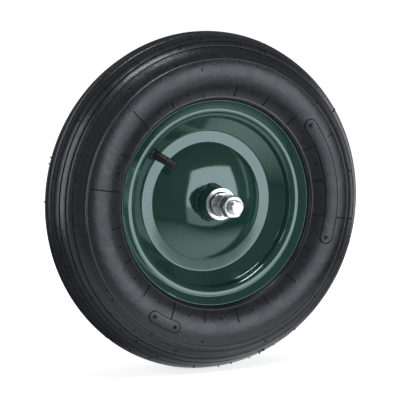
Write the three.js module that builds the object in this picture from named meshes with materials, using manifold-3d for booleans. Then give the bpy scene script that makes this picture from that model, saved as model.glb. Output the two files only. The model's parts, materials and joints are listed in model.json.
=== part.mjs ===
// Wheelbarrow wheel: a pneumatic tyre on a pressed-steel rim that runs on two ball
// bearings along a fixed, threaded axle. Millimetres, +Z up. The wheel spins about +Y,
// its centre is the origin, and the side with the valve faces -Y (the front).

import * as THREE from 'three';
import { mergeVertices } from 'three/addons/utils/BufferGeometryUtils.js';
import Module from 'manifold-3d';

const wasm = await Module();
wasm.setup();

// ---------------------------------------------------------------- driving dimensions

const GAP = 0.3; // clearance kept between pieces that touch on the real wheel

const TYRE_RADIUS = 200; // 16 inch tyre
const TYRE_HALF_WIDTH = 44.3;
const SECTION_CENTRE_RADIUS = 156.2; // radius at which the tyre is widest
const CROWN_HEIGHT = TYRE_RADIUS - SECTION_CENTRE_RADIUS;
const LOWER_SECTION_HEIGHT = 50.8; // radial half-axis of the sidewall below its widest point
const TREAD_THICKNESS = 5.5;
const SIDEWALL_THICKNESS = 3;
const BEAD_CLEARANCE = 0.4; // between the tyre's bead and the rim
const BEAD_TOE = 12.5; // distance of the bead's inner edge from the middle plane
const BEAD_STEP_RADIUS = 121.6; // the step in the tyre round the edge of the rim's flange
const BEAD_STEP_FOOT = 28.7;
const BEAD_STEP_TOP = 31;
const BEAD_RIDGE = [124.4, 33.2]; // radius and distance from the middle plane
const TUBE_WALL = 1.8;
const TUBE_CLEARANCE = 0.5;
const TUBE_BOTTOM = 1.5; // half-width of the tube where it lies in the bottom of the rim's well

const SHEET = 1.8; // thickness of the pressed rim sheet
const RIM_FACE = SHEET + GAP / 2; // how far the flat ring's face is from the middle plane
const FLAT_RING_INNER = 70;
const FLAT_RING_OUTER = 84;
const BEAD_SEAT_INNER = 100.2; // inner face of the rim under the tyre's bead
const BEAD_SEAT_START = 14.3;
const FLANGE_BEND = 5; // radius of the bend from bead seat to flange
const FLANGE_BEND_AT = 20.15;
const FLANGE_BEND_END = 102; // degrees
const FLANGE_FACE = 25.5; // distance of the flange's upright face from the middle plane
const FLANGE_FACE_START = 108.5;
const LIP_START = 112;
const FLANGE_RADIUS = 119.8;
const FLANGE_EDGE = 30.2; // distance of the flange's edge from the middle plane
const DOME_TOP = 14.6; // how far the dome stands out where it meets the hub

const HUB_RADIUS = 19;
const HUB_WALL = 1.7;
const HUB_HALF_LENGTH = 39.6;
const WELD_LEG = 3.5;
const WELD_BULGE = 0.65; // the weld's face, as a share of its leg

const AXLE_RADIUS = 7.9; // M16 axle
const AXLE_HALF_LENGTH = 84;
const AXLE_CHAMFER = 1.2;

const BALL_RADIUS = 2.778; // 7/32 inch balls
const BALL_COUNT = 7;
const BALL_PITCH_RADIUS = 12.4;
const BALL_PLANE = 33; // distance of each ball row from the middle plane
const GROOVE_RADIUS = BALL_RADIUS + 0.18;
const POCKET_RADIUS = BALL_RADIUS + 0.25;
const CAGE_HALF_THICKNESS = 0.9;
const CAGE_HALF_WIDTH = 3.4;

const CUP_INNER_END = 27.4;
const CUP_LAND_RADIUS = 14.3;
const CUP_FLANGE_THICKNESS = 1.4;
const SHIELD_SEAT_RADIUS = 16.5;
const SHIELD_BORE_RADIUS = 14.5;
const RACE_BORE_RADIUS = AXLE_RADIUS + 0.25;
const RACE_SHOULDER_RADIUS = 10.6;
const RACE_COLLAR_RADIUS = 13.6;
const SHIELD_THICKNESS = 0.8;

const WASHER_RADIUS = 13.7;
const WASHER_THICKNESS = 2.6;
const NUT_ACROSS_FLATS = 24;
const NUT_HEIGHT = 12.6;
const NUT_BORE_RADIUS = AXLE_RADIUS + GAP;
const NUT_FACE_RADIUS = 11.7; // of the round face that the chamfers leave on a nut's end
const NUT_CHAMFER = 30; // degrees
const INNER_NUT_START = 46.5;
const NUT_SPACING = 2.6; // room for the barrow's fork between the two nuts

const VALVE_RADIUS = 94; // where the valve leaves the rim's wall
const VALVE_ANGLE = 140.7; // from +X towards +Z, in degrees
const VALVE_HOLE_RADIUS = 6;
const STEM_FOOT_RADIUS = 7;
const STEM_FOOT_START = -7; // behind the rim's wall, inside the tube
const STEM_FOOT_END = -5.6;
const STEM_COLLAR_RADIUS = 6.8;
const STEM_COLLAR_END = 2.6;
const STEM_RADIUS = 5.5;
const STEM_TIP_RADIUS = 4.9;
const STEM_LENGTH = 22;
const STEM_BORE_RADIUS = 3.3;
const BARREL_START = -6;
const BARREL_RADIUS = 3;
const BARREL_THREAD_RADIUS = 3.8;
const BARREL_END = 31.4;
const CORE_RADIUS = 1.6;
const CORE_START = 10;
const CORE_END = 29;
const PIN_RADIUS = 0.45;
const PIN_DISC_RADIUS = 1.4;
const PIN_DISC_START = 6;
const PIN_END = 30.8;
const CAP_RADIUS = 4.9;
const CAP_END = 35.4;
const CAP_CHAMFER = 1;

const LARGE_SEGMENTS = 32; // the same for tyre, inner tube and rim, so that their facets line up
const HUB_SEGMENTS = 28;
const NUT_SEGMENTS = 24;
const SMALL_SEGMENTS = 12;

// ---------------------------------------------------------------- materials

const rubber = () => new THREE.MeshStandardMaterial({ color: 0x26272a, roughness: 0.6, metalness: 0 });
const butyl = () => new THREE.MeshStandardMaterial({ color: 0x1c1c1e, roughness: 0.8, metalness: 0 });
const greenPaint = () => new THREE.MeshStandardMaterial({ color: 0x1e3a2e, roughness: 0.2, metalness: 0 });
const zinc = () => new THREE.MeshStandardMaterial({ color: 0xc9ccd0, roughness: 0.3, metalness: 1 });
const steel = () => new THREE.MeshStandardMaterial({ color: 0xb4b6ba, roughness: 0.25, metalness: 1 });
const brass = () => new THREE.MeshStandardMaterial({ color: 0xb9974f, roughness: 0.35, metalness: 1 });
const blackPlastic = () => new THREE.MeshStandardMaterial({ color: 0x161616, roughness: 0.5, metalness: 0 });

// ---------------------------------------------------------------- outlines
// An outline is a list of [radius, y] points, turned about the Y axis by lathe().

const toRadians = (angle) => angle * (Math.PI / 180);
const toDegrees = (angle) => angle * (180 / Math.PI);

// Points along an elliptical arc from one angle to another, both in degrees.
function arc(centreRadius, centreY, radial, axial, from, to, steps) {
  const points = [];
  for (let i = 0; i <= steps; i += 1) {
    const angle = toRadians(from + ((to - from) * i) / steps);
    points.push([centreRadius + radial * Math.cos(angle), centreY + axial * Math.sin(angle)]);
  }
  return points;
}

const mirrored = (points) => points.map(([radius, y]) => [radius, -y]).reverse();

// A half outline on the +Y side, joined to its mirror image on the -Y side.
const bothSides = (half) => [...half, ...mirrored(half)];

const rectangle = (inner, outer, start, end) => [[inner, start], [outer, start], [outer, end], [inner, end]];

function signedArea(points) {
  return points.reduce((sum, [radius, y], i) => {
    const [nextRadius, nextY] = points[(i + 1) % points.length];
    return sum + (radius * nextY - nextRadius * y) / 2;
  }, 0);
}

// The line beside an open line of points, at a distance to its right.
function beside(points, distance) {
  const normals = points.slice(1).map(([radius, y], i) => {
    const along = new THREE.Vector2(radius - points[i][0], y - points[i][1]).normalize();
    return new THREE.Vector2(along.y, -along.x);
  });
  return points.map(([radius, y], i) => {
    const before = normals[Math.max(i - 1, 0)];
    const after = normals[Math.min(i, normals.length - 1)];
    const mitre = before.clone().add(after).normalize();
    const reach = distance / mitre.dot(after);
    return [radius + mitre.x * reach, y + mitre.y * reach];
  });
}

// ---------------------------------------------------------------- solids

function lathe(outline, segments) {
  const ordered = signedArea(outline) > 0 ? outline : [...outline].reverse();
  const closed = [...ordered, ordered[0]];
  return new THREE.LatheGeometry(closed.map(([radius, y]) => new THREE.Vector2(radius, y)), segments);
}

// A solid of revolution whose outline starts and ends on the axis.
function turned(outline, segments) {
  return new THREE.LatheGeometry(outline.map(([radius, y]) => new THREE.Vector2(radius, y)), segments);
}

function toSolid(geometry) {
  const bare = geometry.clone();
  bare.deleteAttribute('normal');
  bare.deleteAttribute('uv');
  const merged = mergeVertices(bare, 1e-4);
  return new wasm.Manifold(new wasm.Mesh({
    numProp: 3,
    vertProperties: merged.attributes.position.array,
    triVerts: new Uint32Array(merged.index.array),
  }));
}

function toGeometry(solid) {
  const mesh = solid.getMesh();
  const geometry = new THREE.BufferGeometry();
  geometry.setAttribute('position', new THREE.BufferAttribute(mesh.vertProperties, 3));
  geometry.setIndex(new THREE.BufferAttribute(mesh.triVerts, 1));
  geometry.computeVertexNormals();
  return geometry;
}

function place(parent, name, geometry, material) {
  const mesh = new THREE.Mesh(geometry, material);
  mesh.name = name;
  parent.add(mesh);
  return mesh;
}

// ---------------------------------------------------------------- rim

// Visible face of the flange from the bead seat outwards: bend, upright face, lip.
function flangeFace() {
  const bendCentre = BEAD_SEAT_INNER + FLANGE_BEND;
  return [
    ...arc(bendCentre, FLANGE_BEND_AT, FLANGE_BEND, FLANGE_BEND, 180, FLANGE_BEND_END, 3),
    [FLANGE_FACE_START, FLANGE_FACE],
    [LIP_START, FLANGE_FACE],
    [FLANGE_RADIUS, FLANGE_EDGE],
  ];
}

// Visible face of one rim half from the hub outwards: dome, flat ring, wall, bead seat, flange.
function rimFace() {
  const domeStart = HUB_RADIUS + GAP;
  const domeSpan = FLAT_RING_INNER - domeStart;
  const domeDrop = DOME_TOP - RIM_FACE;
  const shares = [0, 0.28, 0.5, 0.68, 0.85, 1];
  const dome = shares.map((t) => [domeStart + domeSpan * t, DOME_TOP - domeDrop * t * t]);
  return [
    ...dome,
    [FLAT_RING_OUTER, RIM_FACE],
    [BEAD_SEAT_INNER, BEAD_SEAT_START],
    ...flangeFace(),
  ];
}

function rimHalf() {
  const face = rimFace();
  return lathe([...face, ...beside(face, SHEET).reverse()], LARGE_SEGMENTS);
}

// Fillet weld between the hub tube and the dome.
function hubWeld() {
  const foot = DOME_TOP + GAP;
  const inner = HUB_RADIUS + GAP;
  const bulge = WELD_LEG * WELD_BULGE;
  const outline = [
    [inner, foot],
    [inner + WELD_LEG, foot],
    [inner + bulge, foot + bulge],
    [inner, foot + WELD_LEG],
  ];
  return lathe(outline, HUB_SEGMENTS);
}

// ---------------------------------------------------------------- tyre and inner tube

// Flat back of the rim's wall, which the inner tube lies on, as seen from the tube.
const wallSpan = new THREE.Vector2(BEAD_SEAT_INNER - FLAT_RING_OUTER, BEAD_SEAT_START - RIM_FACE);
const wallDirection = wallSpan.normalize();
const wallNormal = new THREE.Vector2(-wallDirection.y, wallDirection.x); // out of the rim, towards the axle

// Radius of the wall's back, moved away from it by a clearance, at a distance from the middle plane.
function wallBackRadius(y, clearance) {
  const depth = SHEET + clearance;
  const start = new THREE.Vector2(FLAT_RING_OUTER, RIM_FACE).addScaledVector(wallNormal, -depth);
  return start.x + ((y - start.y) * wallDirection.x) / wallDirection.y;
}

// Outer skin of one side of the tyre, from the crown to the bead's heel on the rim.
function tyreSkin() {
  const seatAndFlange = [[BEAD_SEAT_INNER, BEAD_SEAT_START], ...flangeFace()];
  const [, ...underFlange] = beside(seatAndFlange, SHEET + BEAD_CLEARANCE);
  return [
    ...arc(SECTION_CENTRE_RADIUS, 0, CROWN_HEIGHT, TYRE_HALF_WIDTH, 5, 90, 6),
    ...arc(SECTION_CENTRE_RADIUS, 0, LOWER_SECTION_HEIGHT, TYRE_HALF_WIDTH, 108, 128, 2),
    BEAD_RIDGE,
    [BEAD_STEP_RADIUS, BEAD_STEP_TOP],
    [BEAD_STEP_RADIUS, BEAD_STEP_FOOT],
    ...underFlange.reverse(),
  ];
}

// Inner skin of one side of the tyre from its bead's toe to the crown, moved inwards by an offset.
function cavitySkin(offset) {
  const crownHeight = CROWN_HEIGHT - TREAD_THICKNESS - offset;
  const lowerHeight = LOWER_SECTION_HEIGHT - SIDEWALL_THICKNESS - offset;
  const halfWidth = TYRE_HALF_WIDTH - SIDEWALL_THICKNESS - offset;
  const toeRadius = BEAD_SEAT_INNER + SHEET + BEAD_CLEARANCE;
  return [
    [toeRadius, BEAD_TOE - offset],
    [toeRadius + 7.6, BEAD_TOE + 3 - offset],
    [toeRadius + 16.6, BEAD_TOE + 8.5 - offset],
    ...arc(SECTION_CENTRE_RADIUS, 0, lowerHeight, halfWidth, 126, 90, 1),
    ...arc(SECTION_CENTRE_RADIUS, 0, crownHeight, halfWidth, 65, 6, 3),
  ];
}

function tyre() {
  return lathe(bothSides([...tyreSkin(), ...cavitySkin(0)]), LARGE_SEGMENTS);
}

// Closed outline of the inner tube, moved inwards by an offset from the tyre and the rim.
function tubeOutline(offset) {
  const skin = cavitySkin(offset);
  const toeY = skin[0][1];
  const bottom = [wallBackRadius(TUBE_BOTTOM, offset), TUBE_BOTTOM];
  return bothSides([bottom, [wallBackRadius(toeY, offset), toeY], ...skin]);
}

function innerTube(valveHole) {
  const outer = toSolid(lathe(tubeOutline(TUBE_CLEARANCE), LARGE_SEGMENTS));
  const inner = toSolid(lathe(tubeOutline(TUBE_CLEARANCE + TUBE_WALL), LARGE_SEGMENTS));
  return toGeometry(outer.subtract(inner).subtract(valveHole));
}

// ---------------------------------------------------------------- valve
// The valve's own Y axis runs along its stem, from the face of the rim's wall outwards.

function placeValve(group) {
  const along = (VALVE_RADIUS - FLAT_RING_OUTER) / wallDirection.x;
  const depth = RIM_FACE + along * wallDirection.y;
  const angle = toRadians(VALVE_ANGLE);
  const outwards = new THREE.Vector3(Math.cos(angle), 0, Math.sin(angle));
  group.position.copy(outwards).multiplyScalar(VALVE_RADIUS).setY(-depth);
  const direction = outwards.clone().multiplyScalar(wallNormal.x).setY(-wallNormal.y);
  group.quaternion.setFromUnitVectors(new THREE.Vector3(0, 1, 0), direction.normalize());
  group.updateMatrixWorld(true);
}

// A cylinder through the rim's wall and the inner tube where the valve passes.
function valveHoleSolid(group) {
  const length = -2 * STEM_FOOT_START;
  const cutter = new THREE.CylinderGeometry(VALVE_HOLE_RADIUS, VALVE_HOLE_RADIUS, length, SMALL_SEGMENTS);
  cutter.applyMatrix4(group.matrixWorld);
  return toSolid(cutter);
}

// Rubber stem with a foot inside the tube and a collar on the rim's face.
function valveStem() {
  return lathe([
    [STEM_BORE_RADIUS, STEM_FOOT_START],
    [STEM_FOOT_RADIUS, STEM_FOOT_START],
    [STEM_FOOT_RADIUS, STEM_FOOT_END],
    [STEM_RADIUS, STEM_FOOT_END + 0.4],
    [STEM_RADIUS, 2 * GAP],
    [STEM_COLLAR_RADIUS, 2 * GAP + 0.1],
    [STEM_COLLAR_RADIUS - 0.4, STEM_COLLAR_END],
    [STEM_RADIUS, STEM_COLLAR_END + 0.8],
    [STEM_TIP_RADIUS, STEM_LENGTH],
    [STEM_BORE_RADIUS, STEM_LENGTH],
  ], SMALL_SEGMENTS);
}

function valveBarrel() {
  const shoulder = STEM_LENGTH + GAP;
  return lathe([
    [CORE_RADIUS + GAP, BARREL_START],
    [BARREL_RADIUS, BARREL_START],
    [BARREL_RADIUS, shoulder],
    [BARREL_THREAD_RADIUS, shoulder],
    [BARREL_THREAD_RADIUS, BARREL_END],
    [CORE_RADIUS + GAP, BARREL_END],
  ], SMALL_SEGMENTS);
}

function valveCore() {
  return lathe(rectangle(PIN_RADIUS + GAP, CORE_RADIUS, CORE_START, CORE_END), SMALL_SEGMENTS);
}

// The pin is pressed at its outer end, and has a sealing disc at its inner end.
function valvePin() {
  return turned([
    [0, PIN_DISC_START],
    [PIN_DISC_RADIUS, PIN_DISC_START],
    [PIN_DISC_RADIUS, CORE_START - GAP],
    [PIN_RADIUS, CORE_START - GAP],
    [PIN_RADIUS, PIN_END],
    [0, PIN_END],
  ], SMALL_SEGMENTS);
}

function valveCap() {
  const start = STEM_LENGTH + 2 * GAP;
  const bore = BARREL_THREAD_RADIUS + GAP;
  return turned([
    [0, BARREL_END + GAP],
    [bore, BARREL_END + GAP],
    [bore, start],
    [CAP_RADIUS, start],
    [CAP_RADIUS, CAP_END - CAP_CHAMFER],
    [CAP_RADIUS - CAP_CHAMFER, CAP_END],
    [0, CAP_END],
  ], SMALL_SEGMENTS);
}

// ---------------------------------------------------------------- hub and bearings
// Each side's pieces are drawn on the +Y side, and the front group is turned round.

function hubTube() {
  const outline = rectangle(HUB_RADIUS - HUB_WALL, HUB_RADIUS, -HUB_HALF_LENGTH, HUB_HALF_LENGTH);
  return lathe(outline, HUB_SEGMENTS);
}

function grooveArc(from, to) {
  return arc(BALL_PITCH_RADIUS, BALL_PLANE, GROOVE_RADIUS, GROOVE_RADIUS, from, to, 4);
}

// Pressed outer cup: a sleeve in the hub tube with the ball groove, and a flange over its end.
function bearingCup() {
  const sleeveRadius = HUB_RADIUS - HUB_WALL - GAP;
  const flangeStart = HUB_HALF_LENGTH + GAP;
  const grooveReach = toDegrees(Math.acos((CUP_LAND_RADIUS - BALL_PITCH_RADIUS) / GROOVE_RADIUS));
  return lathe([
    [sleeveRadius, CUP_INNER_END],
    [sleeveRadius, flangeStart],
    [HUB_RADIUS, flangeStart],
    [HUB_RADIUS, flangeStart + CUP_FLANGE_THICKNESS],
    [SHIELD_SEAT_RADIUS, flangeStart + CUP_FLANGE_THICKNESS],
    [SHIELD_SEAT_RADIUS, flangeStart - 0.4],
    [CUP_LAND_RADIUS, flangeStart - 0.4],
    ...grooveArc(grooveReach, -grooveReach),
    [CUP_LAND_RADIUS, CUP_INNER_END],
  ], HUB_SEGMENTS);
}

function dustShield() {
  const start = HUB_HALF_LENGTH + GAP + 0.1;
  const end = start + SHIELD_THICKNESS;
  return lathe(rectangle(SHIELD_BORE_RADIUS, SHIELD_SEAT_RADIUS - GAP, start, end), HUB_SEGMENTS);
}

function innerRace() {
  const collarStart = HUB_HALF_LENGTH - 1;
  const collarEnd = INNER_NUT_START - 2 * GAP - WASHER_THICKNESS;
  const bottom = toDegrees(Math.acos((BALL_PITCH_RADIUS - RACE_SHOULDER_RADIUS) / GROOVE_RADIUS));
  return lathe([
    [RACE_BORE_RADIUS, CUP_INNER_END],
    [RACE_SHOULDER_RADIUS, CUP_INNER_END],
    ...grooveArc(180 + bottom, 180 - bottom),
    [RACE_SHOULDER_RADIUS, collarStart],
    [RACE_COLLAR_RADIUS, collarStart],
    [RACE_COLLAR_RADIUS, collarEnd],
    [RACE_BORE_RADIUS, collarEnd],
  ], HUB_SEGMENTS);
}

function ballPosition(index) {
  const angle = (index / BALL_COUNT) * 2 * Math.PI;
  const outwards = new THREE.Vector3(Math.cos(angle), 0, Math.sin(angle));
  return outwards.multiplyScalar(BALL_PITCH_RADIUS).setY(BALL_PLANE);
}

const ball = () => new THREE.SphereGeometry(BALL_RADIUS, 9, 5);

// Ring with a round pocket for each ball.
function ballCage() {
  const inner = BALL_PITCH_RADIUS - CAGE_HALF_THICKNESS;
  const outer = BALL_PITCH_RADIUS + CAGE_HALF_THICKNESS;
  const ring = rectangle(inner, outer, BALL_PLANE - CAGE_HALF_WIDTH, BALL_PLANE + CAGE_HALF_WIDTH);
  let cage = toSolid(lathe(ring, HUB_SEGMENTS));
  for (let i = 0; i < BALL_COUNT; i += 1) {
    const centre = ballPosition(i);
    const pocket = new THREE.CylinderGeometry(POCKET_RADIUS, POCKET_RADIUS, 2 * CAGE_HALF_WIDTH, 10);
    pocket.rotateZ(-Math.PI / 2);
    pocket.rotateY(-Math.atan2(centre.z, centre.x));
    pocket.translate(centre.x, centre.y, centre.z);
    cage = cage.subtract(toSolid(pocket));
  }
  return toGeometry(cage);
}

// ---------------------------------------------------------------- axle and nuts

function axle() {
  const half = [
    [AXLE_RADIUS, AXLE_HALF_LENGTH - AXLE_CHAMFER],
    [AXLE_RADIUS - AXLE_CHAMFER, AXLE_HALF_LENGTH],
    [0, AXLE_HALF_LENGTH],
  ];
  return turned([...mirrored(half), ...half], HUB_SEGMENTS);
}

function washer() {
  const end = INNER_NUT_START - GAP;
  return lathe(rectangle(AXLE_RADIUS + GAP, WASHER_RADIUS, end - WASHER_THICKNESS, end), HUB_SEGMENTS);
}

// A hexagonal prism with corners towards +X and -X, its ends rounded off by a chamfered disc.
function nut(start) {
  const cornerRadius = NUT_ACROSS_FLATS / 2 / Math.cos(Math.PI / 6);
  const hexagon = new THREE.Shape();
  for (let i = 0; i < 6; i += 1) {
    const angle = (i * Math.PI) / 3;
    const point = [cornerRadius * Math.cos(angle), cornerRadius * Math.sin(angle)];
    if (i === 0) hexagon.moveTo(...point);
    else hexagon.lineTo(...point);
  }
  const prism = new THREE.ExtrudeGeometry(hexagon, { depth: NUT_HEIGHT, bevelEnabled: false });
  prism.rotateX(-Math.PI / 2);
  prism.translate(0, start, 0);
  const end = start + NUT_HEIGHT;
  const discRadius = cornerRadius + 0.2;
  const rise = (discRadius - NUT_FACE_RADIUS) * Math.tan(toRadians(NUT_CHAMFER));
  const rounded = lathe([
    [NUT_BORE_RADIUS, start],
    [NUT_FACE_RADIUS, start],
    [discRadius, start + rise],
    [discRadius, end - rise],
    [NUT_FACE_RADIUS, end],
    [NUT_BORE_RADIUS, end],
  ], NUT_SEGMENTS);
  return toGeometry(toSolid(prism).intersect(toSolid(rounded)));
}

// ---------------------------------------------------------------- assembly

const group = new THREE.Group();

const valveGroup = new THREE.Group();
placeValve(valveGroup);
const valveHole = valveHoleSolid(valveGroup);

place(group, 'tyre', tyre(), rubber());
place(group, 'inner_tube', innerTube(valveHole), butyl());
place(group, 'hub_tube', hubTube(), greenPaint());
place(group, 'axle', axle(), zinc());

// The front half has the hole for the valve.
const frontHalf = toSolid(rimHalf().rotateZ(Math.PI));
place(group, 'front_rim_half', toGeometry(frontHalf.subtract(valveHole)), greenPaint());
place(group, 'rear_rim_half', rimHalf(), greenPaint());

place(valveGroup, 'valve_stem', valveStem(), rubber());
place(valveGroup, 'valve_barrel', valveBarrel(), brass());
place(valveGroup, 'valve_core', valveCore(), brass());
place(valveGroup, 'valve_pin', valvePin(), brass());
place(valveGroup, 'valve_cap', valveCap(), blackPlastic());
group.add(valveGroup);

for (const side of ['front', 'rear']) {
  const half = new THREE.Group();
  half.rotation.z = side === 'front' ? Math.PI : 0;
  group.add(half);
  place(half, `${side}_hub_weld`, hubWeld(), greenPaint());
  place(half, `${side}_bearing_cup`, bearingCup(), zinc());
  place(half, `${side}_dust_shield`, dustShield(), zinc());
  place(half, `${side}_inner_race`, innerRace(), steel());
  place(half, `${side}_ball_cage`, ballCage(), steel());
  for (let i = 0; i < BALL_COUNT; i += 1) {
    place(half, `${side}_ball_${i + 1}`, ball(), steel()).position.copy(ballPosition(i));
  }
  place(half, `${side}_washer`, washer(), zinc());
  place(half, `${side}_inner_nut`, nut(INNER_NUT_START), zinc());
  place(half, `${side}_outer_nut`, nut(INNER_NUT_START + NUT_HEIGHT + NUT_SPACING), zinc());
}

export default group;
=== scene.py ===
# Looks of a wheelbarrow wheel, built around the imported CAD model. Metres, +Z up. The wheel
# turns about Y, its centre is the origin, and the side with the valve faces -Y (the front).

import json
import math
import random

import bmesh
import bpy
import numpy as np
from mathutils import Matrix, Vector


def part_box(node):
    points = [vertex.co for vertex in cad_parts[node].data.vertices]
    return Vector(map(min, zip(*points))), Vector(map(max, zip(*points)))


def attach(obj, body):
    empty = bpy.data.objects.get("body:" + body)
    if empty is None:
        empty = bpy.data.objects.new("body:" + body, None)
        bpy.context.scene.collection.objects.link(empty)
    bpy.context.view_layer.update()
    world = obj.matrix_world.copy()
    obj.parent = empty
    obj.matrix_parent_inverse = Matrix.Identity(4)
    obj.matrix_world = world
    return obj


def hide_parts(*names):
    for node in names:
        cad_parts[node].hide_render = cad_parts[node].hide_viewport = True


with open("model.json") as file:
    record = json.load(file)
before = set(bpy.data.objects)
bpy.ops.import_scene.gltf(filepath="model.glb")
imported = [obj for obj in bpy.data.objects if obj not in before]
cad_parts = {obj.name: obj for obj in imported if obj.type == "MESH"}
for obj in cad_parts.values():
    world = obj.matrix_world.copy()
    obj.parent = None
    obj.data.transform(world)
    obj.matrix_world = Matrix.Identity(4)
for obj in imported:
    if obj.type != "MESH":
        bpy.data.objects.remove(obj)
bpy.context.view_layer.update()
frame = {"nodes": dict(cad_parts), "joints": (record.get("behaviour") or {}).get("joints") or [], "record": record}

# ---------------------------------------------------------------- sizes, from the frame

MM = 0.001
SIDES = {"front": -1, "rear": 1}


def reach(node, axis):
    """How far a CAD node reaches from the wheel's centre along one axis."""
    low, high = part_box(node)
    return max(abs(low[axis]), abs(high[axis]))


def span(node):
    """Nearest and farthest distance from the middle plane of a CAD node that lies on one side."""
    low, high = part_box(node)
    return sorted((abs(low.y), abs(high.y)))


TYRE_RADIUS = reach("tyre", 2)
TYRE_HALF_WIDTH = reach("tyre", 1)
SECTION_CENTRE = 0.7817 * TYRE_RADIUS
CROWN_HEIGHT = TYRE_RADIUS - SECTION_CENTRE
LOWER_HEIGHT = 1.16 * CROWN_HEIGHT

SHEET = 1.8 * MM
DOME_TOP = 14.6 * MM
RING_FACE = 1.95 * MM
RING_INNER = 70 * MM
RING_OUTER = 84 * MM
SEAT_RADIUS = 100.2 * MM
SEAT_START = 14.3 * MM
BEND_AT = 18.5 * MM
BEND_LENGTH = 9 * MM
BEND_DEPTH = 7 * MM
BEND_END = 97
FLANGE_FACE = 25.5 * MM
FLANGE_FACE_START = 109.2 * MM
LIP_START = 110.8 * MM
LIP_RADIUS = 119.8 * MM
LIP_EDGE = 30.2 * MM

HUB_RADIUS = reach("hub_tube", 2)
HUB_HALF_LENGTH = reach("hub_tube", 1)
HUB_BORE = HUB_RADIUS - 1.7 * MM

AXLE_RADIUS = reach("axle", 2)
AXLE_HALF_LENGTH = reach("axle", 1)
THREAD_PITCH = 2 * MM
THREAD_DEPTH = 1.1 * MM
THREAD_START = 38 * MM

BALL_PLANE = 33 * MM
BALL_PITCH_RADIUS = 12.4 * MM
BALL_RADIUS = 2.778 * MM
BALL_COUNT = 7

CAP_JOINT = next(joint for joint in frame["joints"] if joint["name"] == "valve_cap_travel")
VALVE_AXIS = Vector(CAP_JOINT["axis"]).normalized()
CORE_MIDDLE = 19.5 * MM  # distance of the valve core's middle from the rim's wall, along the valve


def valve_matrix():
    """Turns +Y into the valve's direction and moves the origin to where it leaves the wall."""
    low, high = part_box("valve_core")
    origin = (low + high) / 2 - VALVE_AXIS * CORE_MIDDLE
    turn = Vector((0, 1, 0)).rotation_difference(VALVE_AXIS).to_matrix().to_4x4()
    return Matrix.Translation(origin) @ turn


# ---------------------------------------------------------------- camera, floor and light

CAMERA_DISTANCE = 2.0
CAMERA_AZIMUTH = -25.95
CAMERA_ELEVATION = 6.3
CAMERA_LENS = 151.8
CAMERA_SHIFT = (-0.01425, 0.00175)
CARD_FRONT = -0.52


def direction(azimuth, elevation):
    """Unit vector away from the wheel's front: azimuth turns from -Y towards +X, in degrees."""
    turn, lift = math.radians(azimuth), math.radians(elevation)
    return Vector((math.sin(turn) * math.cos(lift), -math.cos(turn) * math.cos(lift), math.sin(lift)))


def aim(obj, place, target=Vector((0, 0, 0))):
    obj.location = place
    obj.rotation_euler = (target - place).to_track_quat("-Z", "Y").to_euler()
    return obj


def make_camera():
    data = bpy.data.cameras.new("camera")
    data.lens = CAMERA_LENS
    data.sensor_width = 36
    data.shift_x, data.shift_y = CAMERA_SHIFT
    camera = bpy.data.objects.new("camera", data)
    bpy.context.scene.collection.objects.link(camera)
    aim(camera, direction(CAMERA_AZIMUTH, CAMERA_ELEVATION) * CAMERA_DISTANCE)
    bpy.context.scene.camera = camera


def softbox(name, azimuth, elevation, distance, width, height, radiance, colour=(1, 1, 1)):
    """A rectangular light of even brightness that faces the wheel."""
    data = bpy.data.lights.new(name, "AREA")
    data.shape = "RECTANGLE"
    data.size, data.size_y = width, height
    data.energy = radiance * math.pi * width * height
    data.color = colour
    light = bpy.data.objects.new(name, data)
    bpy.context.scene.collection.objects.link(light)
    return aim(light, direction(azimuth, elevation) * distance)


def make_lights():
    softbox("front_right_softbox", 28, 4.75, 2.0, 1.30, 0.95, 3.0, (1.03, 1.0, 1.07))
    softbox("front_right_low_panel", 28, -16, 2.0, 1.30, 0.50, 0.95, (1.0, 1.0, 1.04))
    softbox("right_back_panel", 104, 4, 2.0, 1.1, 1.2, 1.5, (0.98, 1.0, 1.04))
    softbox("right_strip", 63, 14, 2.0, 0.10, 1.4, 0.9)
    softbox("left_strip", -90, 12, 1.6, 0.7, 1.6, 3.4, (0.98, 1.0, 1.05))
    softbox("high_lamp", -24, 68, 2.0, 1.0, 0.20, 26.0)
    overhead = softbox("overhead_softbox", 70, 60, 1.8, 1.5, 1.5, 1.5)
    overhead.visible_glossy = False


def make_world():
    """White behind the object, and a dim even light everywhere else."""
    world = bpy.data.worlds.new("studio")
    bpy.context.scene.world = world
    world.use_nodes = True
    tree = world.node_tree
    tree.nodes.clear()
    path = tree.nodes.new("ShaderNodeLightPath")
    dim = tree.nodes.new("ShaderNodeBackground")
    dim.inputs["Color"].default_value = (0.93, 0.97, 1.0, 1)
    dim.inputs["Strength"].default_value = 0.14
    white = tree.nodes.new("ShaderNodeBackground")
    white.inputs["Color"].default_value = (1, 1, 1, 1)
    white.inputs["Strength"].default_value = 1.05
    mix = tree.nodes.new("ShaderNodeMixShader")
    output = tree.nodes.new("ShaderNodeOutputWorld")
    tree.links.new(path.outputs["Is Camera Ray"], mix.inputs[0])
    tree.links.new(dim.outputs[0], mix.inputs[1])
    tree.links.new(white.outputs[0], mix.inputs[2])
    tree.links.new(mix.outputs[0], output.inputs[0])


def ground_sheet(name, west, east, front, back, lift, material):
    """A flat rectangle just under the tyre, which is part of the stage."""
    level = -TYRE_RADIUS - 0.6 * MM + lift
    corners = [(west, front, level), (east, front, level), (east, back, level), (west, back, level)]
    mesh = bpy.data.meshes.new(name)
    mesh.from_pydata(corners, [], [(0, 1, 2, 3)])
    sheet = bpy.data.objects.new(name, mesh)
    bpy.context.scene.collection.objects.link(sheet)
    mesh.materials.append(material)
    return sheet


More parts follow.
